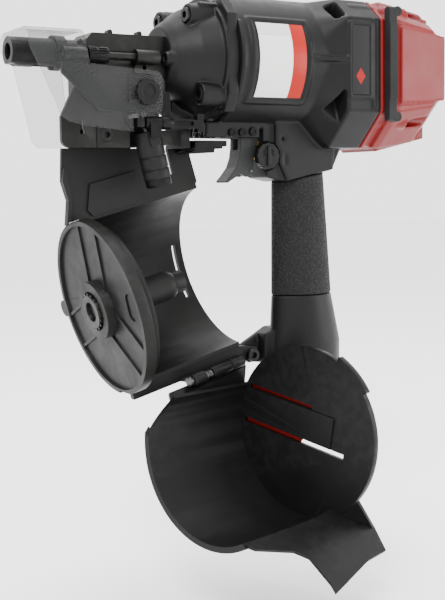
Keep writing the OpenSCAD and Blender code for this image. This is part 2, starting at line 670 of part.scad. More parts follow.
// ---------- grip, trigger and valve ----------
module grip_sleeve() color([0.2, 0.2, 0.2]) difference() {
  hull() {
    handle_slab(grip_x, grip_top_z + 6, grip_half_top, grip_half_w, 1);
    handle_slab(grip_x + 3, grip_bottom_z, grip_half_bottom, grip_half_w + 0.4, 1);
  }
  hull() {
    handle_slab(grip_x, grip_top_z + 10.1, grip_half_top - 3.9, grip_half_w - 3.9, 1);
    handle_slab(grip_x + 3, grip_bottom_z - 6, grip_half_bottom - 3.9, grip_half_w - 3.9, 1);
  }
  // slanted top seam under the neck
  plate_xz(-30, 30) polygon([[190, -88.95], [260, -76.2], [260, -40], [190, -40]]);
}
module trigger() color([0.42, 0.43, 0.42]) difference() {
  plate_xz(-7.6, 7.6) polygon([[172, -45.6], [184, -45.6], [185, -52], [184, -62], [182.5, -72], [182, -81],
    [177, -82.5], [172, -80.5], [168, -82], [160, -86.6], [158.6, -85.6], [163, -81], [167.5, -75.5],
    [170.3, -68.5], [171.4, -61], [171.6, -54]]);
  pin_y(trigger_pivot.x, trigger_pivot.z, -20, 20, 2.08);
  pin_y(trigger_pivot.x, trigger_pivot.z, -5.8, 5.8, 3.6);
  // slot for the contact lever and the arm's tongue
  box(150, 190, -3.2, 3.2, -62.5, -54.6);
  box(173.8, 190, -3.2, 3.2, -84, -54.6);
  pin_y(180, -78.2, -20, 20, 1.02);
}
module trigger_pins() color([0.5, 0.5, 0.5])
  for (x = [160.5, 169, trigger_pivot.x]) translate([x, 0, x == trigger_pivot.x ? -50 : -51]) {
    if (x == 169) { pin_y(0, 0, -15, -8.6, 1.98); pin_y(0, 0, 8.6, 15, 1.98); }
    else pin_y(0, 0, -15, 15, 1.98);
    for (s = [-1, 1]) difference() {
      pin_y(0, 0, s > 0 ? 14.02 : -15.4, s > 0 ? 15.4 : -14.02, 3);
      pin_y(0, 0, s > 0 ? 14.9 : -16, s > 0 ? 16 : -14.9, 1.6);
    }
  }
module contact_lever() color([0.6, 0.6, 0.6]) difference() {
  plate_xz(-2.6, 2.6) polygon([[178.2, -80.2], [181.8, -80.2], [181.8, -74], [178, -56.6],
    [175.4, -56.6], [178, -74]]);
  pin_y(180, -78.2, -20, 20, 1.06);
}
module lever_pin() color([0.6, 0.6, 0.6]) pin_y(180, -78.2, -8.2, 8.2, 1);
module trigger_spring() color([0.6, 0.6, 0.6])
  translate([trigger_pivot.x, 0, trigger_pivot.z]) rotate([0, 0, 90]) spring_x(-5.4, 5.4, 2.8, 0.7, 8);
module valve_housing() color([0.72, 0.62, 0.35]) translate([0, 0, valve_z]) difference() {
  along_x(188, 214, 7.96);
  along_x(187, 215, 2.56);
  along_x(196, 212, 5);
  tube_x(191, 193, 12, 7);
  tube_x(205, 207, 12, 7);
}
module valve_stem() color([0.6, 0.6, 0.6]) translate([0, 0, valve_z]) { along_x(184.6, 205, 2.5);
  along_x(199, 203, 4.6); }
module valve_spring() color([0.6, 0.6, 0.6]) translate([0, 0, valve_z]) spring_x(203.1, 211.9, 3.4, 0.8, 4);
module mode_dial() color([0.16, 0.16, 0.16]) translate([dial.x, -11.7, dial.z])
  rotate([90, 0, 0]) difference() {
  union() {
    cylinder(h = 5, r = 9.3);
    translate([0, 0, -3.2]) cylinder(h = 4, r = 2.5);
    for (i = [0 : 11]) rotate(i * 30) translate([8.6, -0.8, 0]) cube([1.1, 1.6, 5]);
    translate([-1.5, -7, 4.9]) cube([3, 14, 1.6]);
  }
  for (a = [-1, 1], k = [0, 2.4]) translate([a * 4.6 - 0.5, k, 4.3]) rotate(a * 45) cube([1, 3.4, 2]);
}
module handle_end_cap() color([0.14, 0.14, 0.14]) difference() {
  union() {
    handle_slab(grip_x + 6, handle_end_z - 6, grip_half_bottom + 3, grip_half_w + 1, 5.95);
    translate([grip_x, 0, handle_end_z - 12]) cylinder(h = 8, r = 15);
    translate([grip_x, 0, handle_end_z - 1]) cylinder(h = 8, r = 10.95);
  }
  translate([grip_x, 0, handle_end_z - 13]) cylinder(h = 30, r = 8.3);
  for (x = [grip_x - 14.5, grip_x + 27]) translate([x, 0, handle_end_z - 7]) cylinder(h = 8, r = 2.6);
  translate([grip_x - 14.5, 0, handle_end_z - 13]) cylinder(h = 7.02, r = 3.9);
}
module end_cap_screws() color([0.3, 0.3, 0.3])
  for (x = [grip_x - 14.5, grip_x + 27]) translate([x, 0, handle_end_z - 8.6]) rotate([0, -90, 0])
    socket_screw_x(0, 18, x < grip_x ? 3.6 : 4.4, 2.58, 2.5);
module air_plug() color([0.7, 0.66, 0.5]) translate([grip_x, 0, handle_end_z - 32]) difference() {
  union() {
    cylinder(h = 1, r1 = 5.3, r2 = 5.9);
    translate([0, 0, 1]) cylinder(h = 11, r = 5.9);
    translate([0, 0, 10.2]) cylinder(h = 1.5, r = 7);
    translate([0, 0, 11.5]) cylinder(h = 8.4, r = 10.4, $fn = 6);
    translate([0, 0, 19.5]) cylinder(h = 14, r = 8.25);
  }
  translate([0, 0, -1]) cylinder(h = 40, r = 3.6);
  translate([0, 0, 7.6]) difference() { cylinder(h = 2, r = 9);
    translate([0, 0, -1]) cylinder(h = 6, r = 4.7); }
}

// ---------- magazine ----------
module can_tube(s0, s1) { tube_x(s0, s1, can_r, can_r - can_wall); }
module magazine_shell() color([0.2, 0.2, 0.2]) difference() {
  union() {
    can() intersection() {
      can_tube(6, 101);
      prism_x(0, 110) polygon([[12.6, 80], [80, 80], [80, -80], [3.5, -80], [3.5, 0], [12.6, 0]]);
    }
    plate_xz(12.2, 15) polygon([[40.5, -61.4], [104, -61.4], [107.5, -84.5], [126, -79.5], [121.5, -61.5],
      [138, -59.5], [145.5, -84.5], [144, -89], [136.5, -91], [53, -112], [50, -112.9], [42, -114],
        [43.5, -97],
      [39.5, -84]]);
    // turned edge along the front of the throat
    plate_xz(9.6, 12.4) polygon([[40.5, -75], [42.6, -75], [44, -84], [46, -97], [45, -112], [42, -114],
      [43.5, -97], [39.5, -84]]);
    // step that follows the coil
    plate_xz(10.6, 12.4) polygon([[60, -86], [95, -77], [97, -80], [98, -96], [95, -99], [62, -108],
      [58, -104]]);
    can() {
      // rail along the underside
      box(8, 101, 5, 10, -72, -60.6);
      // thicker rim behind the sight slot
      intersection() {
        tube_x(90, 101, can_r + 1.4, can_r - 1.2);
        box(80, 110, 40, 80, -34, 22);
      }
      // rim round the rear edge
      intersection() {
        tube_x(98, 101, can_r + 1.4, can_r - 1.2);
        prism_x(90, 110) polygon([[20, 80], [80, 80], [80, -80], [14, -80], [14, 0], [20, 0]]);
      }
      // screw lug for the front disc
      rotate([lug_angle, 0, 0]) translate([0, 0, can_r + 2.4]) along_x(6, 18, 6.2, 5);
    }
    // hinge knuckles, each with its web to the rail
    hinge_frame() {
      along_x(0, 12, 4.2);
      box(0, 12, 1.5, 14, -1.4, 2.6);
      along_x(38, 50, 4.2);
      box(38, 50, 1.5, 7, -1.4, 2.6);
    }
    // ear that is bolted to the foot of the handle
    plate_xz(5, 10.2) polygon([[164, -207.6], [167, -219.5], [181.5, -219.5], [184, -221.4], [190, -221],
      [193, -215.5],
      [191, -210], [182, -208.6]]);
  }
  // long sight slot near the rear edge
  can() box(92.6, 95.8, 40, 80, -27, 15);
  hinge_frame() along_x(-60, 60, 2.02);
  pin_y(186, -215.5, 2, 20, 2.52);
  for (x = [54, 86]) pin_y(x, -68, 13, 20, 2.02);
  can() {
    rotate([lug_angle, 0, 0]) translate([0, 0, can_r + 2.4]) { along_x(5, 19, 1.62);
      along_x(18, 26, 3.35); }
    along_x(-4, 5.9, can_r + 0.4);
  }
}
module magazine_front_disc() color([0.19, 0.19, 0.19]) can() difference() {
  union() {
    along_x(0, 2.6, can_r);
    tube_x(-2.2, 5.8, can_r, can_r - 3.4);
    along_x(-7, 3, 20.5);
    // three pairs of ribs
    for (a = [0, 120, 240]) rotate([a, 0, 0]) for (s = [-1, 1])
      rotate([8, 0, 0]) box(-1.4, 0.5, s * 12.4 - 1.1, s * 12.4 + 1.1, 14, can_r - 4);
    rotate([lug_angle, 0, 0]) translate([0, 0, can_r + 2.4]) along_x(-2.2, 5.8, 6.2);
  }
  along_x(-8, -3, 14);
  along_x(-8, 8, 8.06);
  // shallow oval recess beside the hub
  hull() for (z = [0, 9]) translate([0, -46, z]) along_x(-3, 1.1, 5);
  rotate([lug_angle, 0, 0]) translate([0, 0, can_r + 2.4]) along_x(-0.9, 8, 1.62);
  // flats that clear the door hinge and the throat
  box(-4, 8, -20, 2.2, -80, -60.8);
}
module nail_tray() color([0.22, 0.22, 0.22]) can() difference() {
  union() {
    along_x(-1, 64, 8);
    along_x(8.5, 50, 10.5);
    translate([50, 0, 0]) intersection() { sphere(r = 10.5); along_x(0, 10.2, 12); }
    along_x(8.5, 11.5, 57);
    for (a = [0 : 60 : 300]) rotate([a, 0, 0]) box(11, 16, -0.9, 0.9, 10, 50);
  }
  along_x(-2, 44, 4.06);
}
module tray_knob() color([0.45, 0.45, 0.44]) can() difference() {
  union() {
    along_x(-9, -3.2, 11.6, 12.4);
    along_x(-4, 38, 4);
    for (i = [0 : 15]) rotate([i * 22.5, 0, 0]) box(-8.4, -3.2, -1, 1, 11, 13.1);
  }
  along_x(-10, -6.4, 7);
}
module door_hinge_pin() color([0.55, 0.55, 0.55]) hinge_frame() { along_x(-1.8, 51, 2);
  along_x(-3.4, -0.3, 3.4); }
module door_hinge_spring() color([0.6, 0.6, 0.6]) hinge_frame() spring_x(12.6, 18.2, 2.9, 0.8, 5);
module magazine_door() color([0.12, 0.12, 0.12]) door_swing(door_open) difference() {
  union() {
    intersection() {
      can_tube(6.4, 102);
      prism_x(0, 110) polygon([[-25.5, 80], [-80, 80], [-80, -80], [-8, -80], [-8, 0], [-25.5, 0]]);
    }
    // rear plate with its raised rim
    along_x(101.6, 104.4, can_r);
    tube_x(104, 106.4, can_r, can_r - 2.4);
    // lip round the front edge of the bowl
    intersection() {
      tube_x(6.4, 9.4, can_r + 1.6, can_r - can_wall);
      prism_x(0, 12) polygon([[-25.5, 80], [-80, 80], [-80, -62], [-25.5, -62]]);
    }
    // wall that joins the bowl to the hinge line, and the knuckle
    hull() {
      box(28, 101, -17.5, -15, -62.6, -60);
      hinge_line() box(-19, 55, -7.6, -5.3, -1.4, 2.2);
    }
    hinge_line() {
      along_x(18.6, 37.4, 4.2);
      box(18.6, 37.4, -8, -1.8, -1, 3);
    }
    // throat tongue above the bowl
    rotate([0, can_tilt, 0]) translate(-CAN) plate_xz(-26.6, -24.4)
      polygon([[56, -114.5], [60, -108], [85, -91], [91, -81], [86, -59], [83, -53], [132, -53.5],
        [154, -50],
        [166, -67], [151, -91], [147, -97], [128, -99]]);
    // rear wall of the throat, from the plate to the tongue
    hull() {
      box(101.6, 104.4, -27, -2, 54, 57.5);
      rotate([0, can_tilt, 0]) translate(-CAN) plate_xz(-26.6, -24.4)
        polygon([[166, -67], [163, -69], [163, -67]]);
    }
    // raised strap between the two sight slots
    intersection() {
      rotate([-28, 0, 0]) box(100.2, 102, -4, 18.6, -70, 26);
      along_x(99, 103, can_r - 1);
    }
    // lug on the rim of the rear plate
    intersection() {
      tube_x(101.6, 106.4, can_r + 3.6, can_r - 2);
      prism_x(100, 108) polygon([[0, 0], [80, -12], [80, 29]]);
    }
  }
  // cut corner at the front of the hinge side
  translate([0, 0, -90]) linear_extrude(50) polygon([[0, -34], [6, -34], [26, -9], [26, 0], [0, 0]]);
  hinge_line() along_x(-60, 60, 2.06);
  // two long sight slots in the rear plate
  rotate([-28, 0, 0]) box(97, 108, 18.9, 21.7, -55, 5);
  rotate([-28, 0, 0]) box(97, 108, -8.2, -4.4, -56, 37.5);
}
module hinge_line() { translate(HINGE) rotate([0, hinge_droop, hinge_yaw]) children(); }
// Coloured strip behind the slots that shows how many nails are left
module door_sight_strip() color([0.7, 0.08, 0.06]) door_swing(door_open) intersection() {
  rotate([-28, 0, 0]) prism_x(104.45, 105.6) polygon([[-11, -70], [25, -70], [25, 7], [-11, -4]]);
  along_x(104, 106, can_r - 3);
}
module magazine_screws() color([0.3, 0.3, 0.3]) {
  for (x = [54, 86]) difference() {
    union() { pin_y(x, -68, 13.1, 20, 2); pin_y(x, -68, 19.02, 21.6, 3.8); }
    pin_y(x, -68, 20.4, 23, 2);
  }
  difference() {
    union() { pin_y(186, -215.5, 1.6, 18.6, 2.5); pin_y(186, -215.5, 0.6, 4.9, 4.6);
      pin_y(186, -215.5, 16.1, 19.4, 4.6); }
    pin_y(186, -215.5, -1, 3, 2.4);
  }
  can() rotate([lug_angle, 0, 0]) translate([0, 0, can_r + 2.4]) difference() {
    union() { along_x(-0.8, 19, 1.6); along_x(18.02, 20.6, 3.2); }
    along_x(19.6, 22, 1.5);
  }
}

// ---------- output ----------
housing();
nose_flange();
flange_screws();
nose_body();
nose_cover();
nose_cover_screw();
contact_tip();
contact_arm();
contact_arm_spring();
adjuster_rod();
depth_wheel();
shield();
shield_knob();
latch_lever();
latch_pin();
feed_cylinder();
feed_end_cap();
feed_piston();
feed_spring();
feed_pawl();
feed_pawl_pin();
cylinder_liner();
liner_seals();
piston();
piston_ring();
driver_blade();
drive_bumper();
head_valve();
head_valve_spring();
cap_gasket();
rear_cap();
cap_screws();
exhaust_cover();
exhaust_screw();
bumper_bars();
info_label();
badge_plate();
grip_sleeve();
trigger();
trigger_pins();
contact_lever();
lever_pin();
trigger_spring();
valve_housing();
valve_stem();
valve_spring();
mode_dial();
handle_end_cap();
end_cap_screws();
air_plug();
magazine_shell();
magazine_front_disc();
nail_tray();
tray_knob();
door_hinge_pin();
door_hinge_spring();
magazine_door();
door_sight_strip();
magazine_screws();
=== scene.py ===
import json
import math

import bpy
from mathutils import Matrix, Vector


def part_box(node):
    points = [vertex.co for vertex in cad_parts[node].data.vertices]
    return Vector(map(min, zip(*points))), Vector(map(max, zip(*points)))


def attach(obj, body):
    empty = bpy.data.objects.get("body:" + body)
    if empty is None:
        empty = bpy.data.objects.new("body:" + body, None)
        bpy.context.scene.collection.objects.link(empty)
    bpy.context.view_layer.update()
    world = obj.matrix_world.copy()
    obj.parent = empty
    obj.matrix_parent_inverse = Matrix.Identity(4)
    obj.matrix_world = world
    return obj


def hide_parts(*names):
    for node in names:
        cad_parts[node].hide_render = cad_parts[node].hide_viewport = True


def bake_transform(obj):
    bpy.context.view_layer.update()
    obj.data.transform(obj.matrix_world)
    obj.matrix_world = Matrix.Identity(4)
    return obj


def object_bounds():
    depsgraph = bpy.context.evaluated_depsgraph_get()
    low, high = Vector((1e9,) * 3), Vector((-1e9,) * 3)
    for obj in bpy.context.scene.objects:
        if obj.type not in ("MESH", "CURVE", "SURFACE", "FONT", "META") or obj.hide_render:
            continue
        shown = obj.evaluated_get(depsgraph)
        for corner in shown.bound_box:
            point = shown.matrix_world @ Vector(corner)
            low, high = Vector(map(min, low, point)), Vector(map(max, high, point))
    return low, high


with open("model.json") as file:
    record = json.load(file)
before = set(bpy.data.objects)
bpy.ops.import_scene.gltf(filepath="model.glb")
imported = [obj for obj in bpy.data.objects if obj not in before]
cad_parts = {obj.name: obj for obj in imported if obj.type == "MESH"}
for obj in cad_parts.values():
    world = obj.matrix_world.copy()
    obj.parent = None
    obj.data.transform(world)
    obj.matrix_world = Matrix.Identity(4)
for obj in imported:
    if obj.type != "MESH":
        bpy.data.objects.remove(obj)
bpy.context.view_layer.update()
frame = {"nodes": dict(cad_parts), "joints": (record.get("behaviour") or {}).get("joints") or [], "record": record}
NODES = frame["nodes"]
BODIES = frame["record"]["behaviour"]["bodies"]
BODY_OF = {node: body for body, members in BODIES.items() for node in members}
SLOT_OF = {entry["node"]: entry["material_slot"] for entry in frame["record"]["subparts"]}
MM = 0.001
SHEEN = 0.12  # specular level of every finish, low for dark satin coats


# ---------- materials ----------
def principled(name, color, rough, metal=0.0, **extra):
    """A node material and its shader; extra sets more of the shader's own sockets."""
    mat = bpy.data.materials.new(name)
    mat.use_nodes = True
    shader = mat.node_tree.nodes["Principled BSDF"]
    shader.inputs["Base Color"].default_value = (*color, 1)
    shader.inputs["Roughness"].default_value = rough
    shader.inputs["Metallic"].default_value = metal
    shader.inputs["Specular IOR Level"].default_value = SHEEN
    for socket, value in extra.items():
        shader.inputs[socket.replace("_", " ")].default_value = value
    return mat, shader


def node(mat, kind, **props):
    made = mat.node_tree.nodes.new(kind)
    for key, value in props.items():
        if key in made.inputs:
            made.inputs[key].default_value = value
        else:
            setattr(made, key, value)
    return made


def link(mat, a, b):
    mat.node_tree.links.new(a, b)


def coords(mat):
    return node(mat, "ShaderNodeTexCoord").outputs["Object"]


def noise(mat, scale, detail=3.0, rough=0.55):
    made = node(mat, "ShaderNodeTexNoise", Scale=scale, Detail=detail, Roughness=rough)
    link(mat, coords(mat), made.inputs["Vector"])
    return made.outputs["Fac"]


def ramp(mat, source, low, high, a, b):
    made = node(mat, "ShaderNodeMapRange")
    made.inputs["From Min"].default_value = low
    made.inputs["From Max"].default_value = high
    made.inputs["To Min"].default_value = a
    made.inputs["To Max"].default_value = b
    link(mat, source, made.inputs["Value"])
    return made.outputs["Result"]


def mix_color(mat, factor, a, b):
    made = node(mat, "ShaderNodeMix", data_type="RGBA")
    link(mat, factor, made.inputs[0])
    for socket, value in ((made.inputs[6], a), (made.inputs[7], b)):
        if isinstance(value, tuple):
            socket.default_value = (*value, 1)
        else:
            link(mat, value, socket)
    return made.outputs[2]


def bump(mat, shader, height, depth, strength=1.0):
    made = node(mat, "ShaderNodeBump", Strength=strength, Distance=depth)
    link(mat, height, made.inputs["Height"])
    link(mat, made.outputs["Normal"], shader.inputs["Normal"])
    return made


def worn_edges(mat, amount):
    """Where the surface is sharply convex, such as the edge of a casting, as a factor."""
    geometry = node(mat, "ShaderNodeNewGeometry")
    patchy = ramp(mat, noise(mat, 180, 4), 0.4, 0.62, 0, 1)
    edge = ramp(mat, geometry.outputs["Pointiness"], 0.53, 0.6, 0, amount)
    both = node(mat, "ShaderNodeMath", operation="MULTIPLY")
    link(mat, patchy, both.inputs[0])
    link(mat, edge, both.inputs[1])
    return both.outputs[0]


def coated(name, color, rough, grain=0.00012, grain_scale=1500, blotch=0.25, wear=0.35, **extra):
    """Powder coat or satin paint: fine grain, cloudy gloss and lightly rubbed edges."""
    mat, shader = principled(name, color, rough, **extra)
    cloud = noise(mat, 22, 4)
    darker = tuple(c * (1 - blotch) for c in color)
    lighter = tuple(min(1, c * (1 + blotch) + 0.001) for c in color)
    body = mix_color(mat, cloud, darker, lighter)
    rubbed = tuple(min(1, c * 1.5 + 0.018) for c in color)
    link(mat, mix_color(mat, worn_edges(mat, wear), body, rubbed), shader.inputs["Base Color"])
    gloss = ramp(mat, noise(mat, 60, 5), 0.3, 0.7, rough - 0.07, rough + 0.09)
    link(mat, gloss, shader.inputs["Roughness"])
    bump(mat, shader, noise(mat, grain_scale, 2), grain)
    return mat


def metal(name, color, rough, brushed=False, tint=None, wear=0.4):
    """Machined or treated steel: turning or grinding marks, mottled tone and bright edges."""
    mat, shader = principled(name, color, rough, metal=0.9)
    cloud = noise(mat, 70, 5, 0.65)
    tint = tint or tuple(c * 0.7 for c in color)
    body = mix_color(mat, ramp(mat, cloud, 0.35, 0.65, 0, 1), color, tint)
    bright = tuple(min(1, c * 1.7 + 0.04) for c in color)
    link(mat, mix_color(mat, worn_edges(mat, wear), body, bright), shader.inputs["Base Color"])
    link(mat, ramp(mat, cloud, 0.3, 0.7, rough - 0.08, rough + 0.12), shader.inputs["Roughness"])
    if brushed:
        stretch = node(mat, "ShaderNodeMapping")
        stretch.inputs["Scale"].default_value = (90, 2600, 2600)
        link(mat, coords(mat), stretch.inputs["Vector"])
        marks = node(mat, "ShaderNodeTexNoise", Scale=1.0, Detail=3.0)
        link(mat, stretch.outputs["Vector"], marks.inputs["Vector"])
        bump(mat, shader, marks.outputs["Fac"], 0.00005, 0.7)
    else:
        bump(mat, shader, noise(mat, 900, 3), 0.00006, 0.8)
    return mat


def rubber(name, color, rough=0.62):
    mat, shader = principled(name, color, rough)
    dust = ramp(mat, noise(mat, 35, 5), 0.35, 0.75, 0, 1)
    dusty = tuple(c * 1.5 + 0.002 for c in color)
    link(mat, mix_color(mat, dust, color, dusty), shader.inputs["Base Color"])
    bump(mat, shader, noise(mat, 1200, 3), 0.00008)
    return mat


def pebbled_rubber(name, color):
    """Soft grip rubber with raised pebbles about 2 mm across; its colour carries painted shade in the hollows and
    painted light on the crowns.
    """
    mat, shader = principled(name, color, 0.55)
    cells = node(mat, "ShaderNodeTexVoronoi", feature="SMOOTH_F1", Scale=640.0)
    cells.inputs["Smoothness"].default_value = 0.35
    warp = node(mat, "ShaderNodeTexNoise", Scale=260.0, Detail=2.0)
    link(mat, coords(mat), warp.inputs["Vector"])
    shift = node(mat, "ShaderNodeVectorMath", operation="MULTIPLY_ADD")
    link(mat, warp.outputs["Color"], shift.inputs[0])
    shift.inputs[1].default_value = (0.0012, 0.0012, 0.0012)
    link(mat, coords(mat), shift.inputs[2])
    link(mat, shift.outputs[0], cells.inputs["Vector"])
    height = ramp(mat, cells.outputs["Distance"], 0.1, 0.62, 1, 0)
    # painted shade: hollows between pebbles darker; painted light: pebble crowns lighter, both mixed by pebble
    # height
    painted_shade_hollow = tuple(c * 0.7 for c in color)
    painted_light_crown = tuple(c * 1.2 for c in color)
    link(mat, mix_color(mat, height, painted_shade_hollow, painted_light_crown), shader.inputs["Base Color"])
    link(mat, ramp(mat, height, 0, 1, 0.72, 0.46), shader.inputs["Roughness"])
    bump(mat, shader, height, 0.0004, 0.8)
    return mat


def clear_sheet(name):
    """Moulded clear sheet: lets light through, with a few fine scratches."""
    mat, shader = principled(name, (0.06, 0.062, 0.061), 0.1, IOR=1.45, Alpha=0.2)
    scratches = node(mat, "ShaderNodeTexNoise", Scale=1.0, Detail=2.0)
    stretch = node(mat, "ShaderNodeMapping")
    stretch.inputs["Scale"].default_value = (60, 400, 2400)
    stretch.inputs["Rotation"].default_value = (0, 0.5, 0)
    link(mat, coords(mat), stretch.inputs["Vector"])
    link(mat, stretch.outputs["Vector"], scratches.inputs["Vector"])
    haze = ramp(mat, scratches.outputs["Fac"], 0.3, 0.75, 0.2, 0.23)
    link(mat, haze, shader.inputs["Roughness"])
    fresnel = node(mat, "ShaderNodeLayerWeight", Blend=0.35)
    link(mat, ramp(mat, fresnel.outputs["Facing"], 0, 0.9, 0.14, 0.5), shader.inputs["Alpha"])
    return mat


def label_film(name, low, high):
    """White film with an orange band along its rear edge and a darker grey strip along its top edge, no lettering.
    """
    mat, shader = principled(name, (0.85, 0.85, 0.84), 0.32)
    split = node(mat, "ShaderNodeSeparateXYZ")
    link(mat, coords(mat), split.inputs[0])
    band_at = low[0] + (high[0] - low[0]) * 0.7
    band = ramp(mat, split.outputs["X"], band_at - 0.0001, band_at + 0.0001, 0, 1)
    head_at = high[2] - 0.009
    head = ramp(mat, split.outputs["Z"], head_at - 0.0001, head_at + 0.0001, 0, 1)
    panel = mix_color(mat, head, (0.62, 0.62, 0.61), (0.5, 0.5, 0.5))
    link(mat, mix_color(mat, band, panel, (0.27, 0.007, 0.003)), shader.inputs["Base Color"])
    bump(mat, shader, noise(mat, 300, 2), 0.00004)
    return mat


def badge_face(name):
    """Blank glossy badge: black, with one small plain red lozenge in its lower third."""
    mat, shader = principled(name, (0.012, 0.012, 0.012), 0.22)
    low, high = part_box("badge_plate")
    split = node(mat, "ShaderNodeSeparateXYZ")
    link(mat, coords(mat), split.inputs[0])
    reach = None
    for axis, middle, half in (("X", (low[0] + high[0]) / 2, 0.0042), ("Z", low[2] + 0.013, 0.006)):
        shifted = node(mat, "ShaderNodeMath", operation="SUBTRACT")
        link(mat, split.outputs[axis], shifted.inputs[0])
        shifted.inputs[1].default_value = middle
        size = node(mat, "ShaderNodeMath", operation="ABSOLUTE")
        link(mat, shifted.outputs[0], size.inputs[0])
        share = node(mat, "ShaderNodeMath", operation="DIVIDE")
        link(mat, size.outputs[0], share.inputs[0])
        share.inputs[1].default_value = half
        if reach is None:
            reach = share.outputs[0]
        else:
            both = node(mat, "ShaderNodeMath", operation="ADD")
            link(mat, reach, both.inputs[0])
            link(mat, share.outputs[0], both.inputs[1])
            reach = both.outputs[0]
    inside = ramp(mat, reach, 0.97, 1.03, 1, 0)
    face = mix_color(mat, inside, (0.005, 0.005, 0.0052), (0.2, 0.004, 0.003))
    link(mat, face, shader.inputs["Base Color"])
    bump(mat, shader, noise(mat, 400, 2), 0.00002)
    return mat


MATERIALS = {
    "body_paint": coated("satin_black_body", (0.0045, 0.0045, 0.0048), 0.38),
    "cap_red": coated("satin_red_cap", (0.12, 0.001, 0.001), 0.34,
                      grain=0.00008, blotch=0.08, wear=0.2, Coat_Weight=0.15, Coat_Roughness=0.3),
    "rubber_black": rubber("matt_black_rubber", (0.008, 0.008, 0.008)),
    "grip_rubber": pebbled_rubber("pebbled_grip_rubber", (0.0095, 0.0097, 0.0095)),
    "nose_steel": metal("phosphated_steel", (0.018, 0.018, 0.017), 0.42,
                        tint=(0.014, 0.014, 0.0135), wear=0.2),
    "black_steel": metal("black_oxide_steel", (0.012, 0.012, 0.0122), 0.4, wear=0.2),
    "bright_steel": metal("zinc_plated_steel", (0.09, 0.09, 0.089), 0.28, brushed=True),
    "screw_black": metal("socket_screw_steel", (0.02, 0.02, 0.0205), 0.36),
    "spring_steel": metal("spring_wire", (0.08, 0.08, 0.079), 0.25),
    "aluminium": metal("anodised_aluminium", (0.3, 0.3, 0.295), 0.34, brushed=True),
    "brass": metal("brass", (0.3, 0.21, 0.09), 0.28, brushed=True),
    "nylon_grey": coated("grey_glass_filled_nylon", (0.006, 0.0062, 0.0058), 0.44,
                         grain=0.0001, wear=0.2),
    "nylon_black": coated("black_moulded_nylon", (0.0035, 0.0035, 0.0037), 0.36,
                          grain=0.00007, wear=0.15),
    "trigger_grey": coated("grey_cast_trigger", (0.016, 0.017, 0.0165), 0.4, grain=0.0001),
    "strip_red": coated("red_sight_strip", (0.12, 0.003, 0.002), 0.4, wear=0.0),
    "clear_sheet": clear_sheet("clear_plastic_sheet"),
    "label_white": label_film("label_film", *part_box("info_label")),
    "badge_black": badge_face("badge_face"),
}


def dress(obj, slot):
    obj.data.materials.clear()
    obj.data.materials.append(MATERIALS[slot])


# ---------- castings and moulded parts ----------
def casting(name, voxel, passes, keep):
    """A cast or moulded part from its CAD node: an even skin with rounded edges and inner corners."""
    source = NODES[name]
    obj = source.copy()
    obj.data = source.data.copy()
    obj.name = name + "_cast"
    bpy.context.collection.objects.link(obj)
    skin = obj.modifiers.new("skin", "REMESH")
    skin.mode = "VOXEL"
    skin.voxel_size = voxel
    soften = obj.modifiers.new("soften", "SMOOTH")
    soften.factor = 0.5
    soften.iterations = passes
    thin = obj.modifiers.new("thin", "DECIMATE")
    thin.ratio = keep
    evaluated = obj.evaluated_get(bpy.context.evaluated_depsgraph_get())
    mesh = bpy.data.meshes.new_from_object(evaluated)
    obj.modifiers.clear()
    obj.data = mesh
    mesh.name = obj.name
    for face in mesh.polygons:
        face.use_smooth = True
    dress(obj, SLOT_OF[name])
    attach(obj, BODY_OF[name])
    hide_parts(name)
    return obj


CAST = {
    # node: voxel size, smoothing passes, share of the triangles kept
    "housing": (0.9, 5, 0.45),
    "nose_flange": (0.7, 5, 0.45),
    "rear_cap": (0.9, 5, 0.4),
    "grip_sleeve": (0.9, 4, 0.5),
    "trigger": (0.35, 4, 0.6),
    "bumper_bars": (0.5, 3, 0.6),
    "handle_end_cap": (0.6, 3, 0.5),
    "mode_dial": (0.25, 3, 0.6),
    "shield_knob": (0.25, 3, 0.6),
}
COARSE = 1.0
for part, (voxel_mm, passes, keep) in CAST.items():
    casting(part, voxel_mm * COARSE * MM, passes, keep)


# ---------- machined parts ----------
PLAIN_BEVEL = 0.2
SHARP = math.radians(38)
BEVEL = {
    "nose_body": 0.5, "nose_cover": 0.4, "contact_tip": 0.5, "contact_arm": 0.35, "shield": 0.3,
    "latch_lever": 0.4, "latch_pin": 0.3, "feed_cylinder": 0.4, "feed_end_cap": 0.4,
    "exhaust_cover": 0.6,
    "door_sight_strip": 0.15, "info_label": 0.05, "badge_plate": 0.15, "depth_wheel": 0.12,
    "magazine_shell": 0.45, "magazine_door": 0.5, "magazine_front_disc": 0.5, "nail_tray": 0.4,
}
CURVED = {"head_valve_spring", "valve_spring", "trigger_spring", "feed_spring",
          "contact_arm_spring", "door_hinge_spring"}
for name, obj in NODES.items():
    if name in CAST or name in CURVED:
        continue
    dress(obj, SLOT_OF[name])
    weld = obj.modifiers.new("weld", "WELD")
    weld.merge_threshold = 0.004 * MM
    edge = obj.modifiers.new("edge", "BEVEL")
    edge.width = BEVEL.get(name, PLAIN_BEVEL) * MM
    edge.segments = 2
    edge.limit_method = "ANGLE"
    edge.angle_limit = SHARP
    edge.use_clamp_overlap = True
    edge.harden_normals = True


# ---------- springs ----------
STEPS_A_TURN = 18
FLAT_TURNS = 0.9


